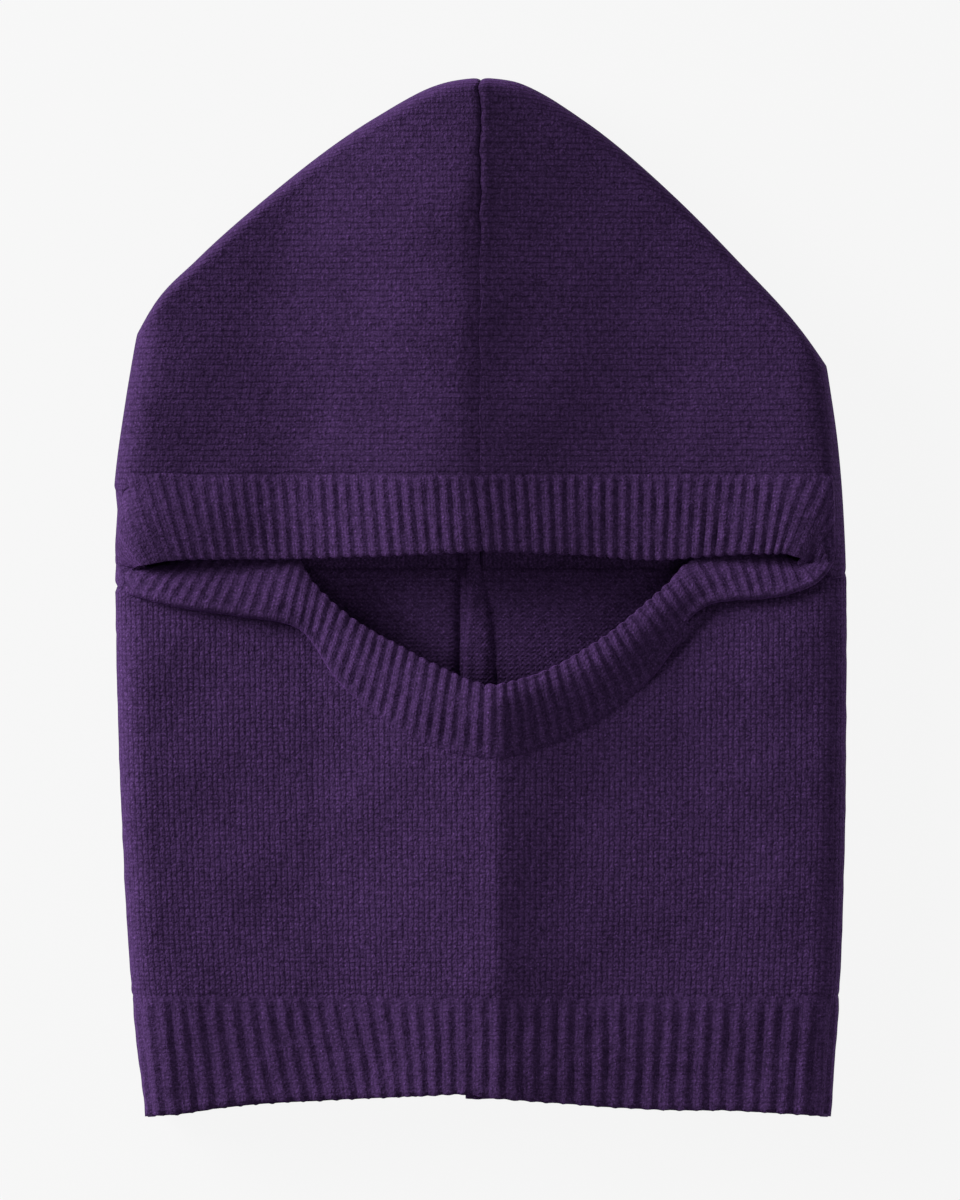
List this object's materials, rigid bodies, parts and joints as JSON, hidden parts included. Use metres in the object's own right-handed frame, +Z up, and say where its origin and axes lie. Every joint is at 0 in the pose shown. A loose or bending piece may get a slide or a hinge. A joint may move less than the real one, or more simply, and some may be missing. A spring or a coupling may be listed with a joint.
{
  "type": "balaclava",
  "caption": "Knitted hood balaclava laid flat on its back: seamed hood, ribbed band round the face opening, tube neck with ribbed hem.",
  "frame": {"origin": "centre of the bounding box's bottom face: the middle of the back layer, on the surface that the garment lies on", "axes": "+Z up out of the face opening, +Y from the hem towards the crown, +X towards the wearer's left; left and right in the node names are as seen from above, so left is -X"},
  "size_m": [0.2857, 0.4056, 0.0354],
  "materials": {
    "stocking_knit": "brushed wool stocking stitch",
    "rib_knit": "brushed wool one-by-one rib",
    "linked_seam": "linked wool selvedges"
  },
  "bodies": {
    "neck": {"neck_panel": "stocking_knit", "hem_rib": "rib_knit", "chin_rib_band": "rib_knit", "chin_linking_seam": "linked_seam", "neck_back_seam": "linked_seam", "hood_neck_seam_left": "linked_seam", "hood_neck_seam_right": "linked_seam"},
    "hood": {"hood_left_panel": "stocking_knit", "hood_right_panel": "stocking_knit", "brim_rib_left": "rib_knit", "brim_rib_right": "rib_knit", "crown_seam": "linked_seam", "forehead_join_seam": "linked_seam", "brim_linking_seam": "linked_seam", "hood_back_seam": "linked_seam"}
  },
  "joints": [
    {"name": "hood_fold", "type": "hinge", "parent": "neck", "child": "hood", "pos_m": [0, 0.01, 0.035], "axis": [1, 0, 0], "range_deg": [0, 150]}
  ]
}
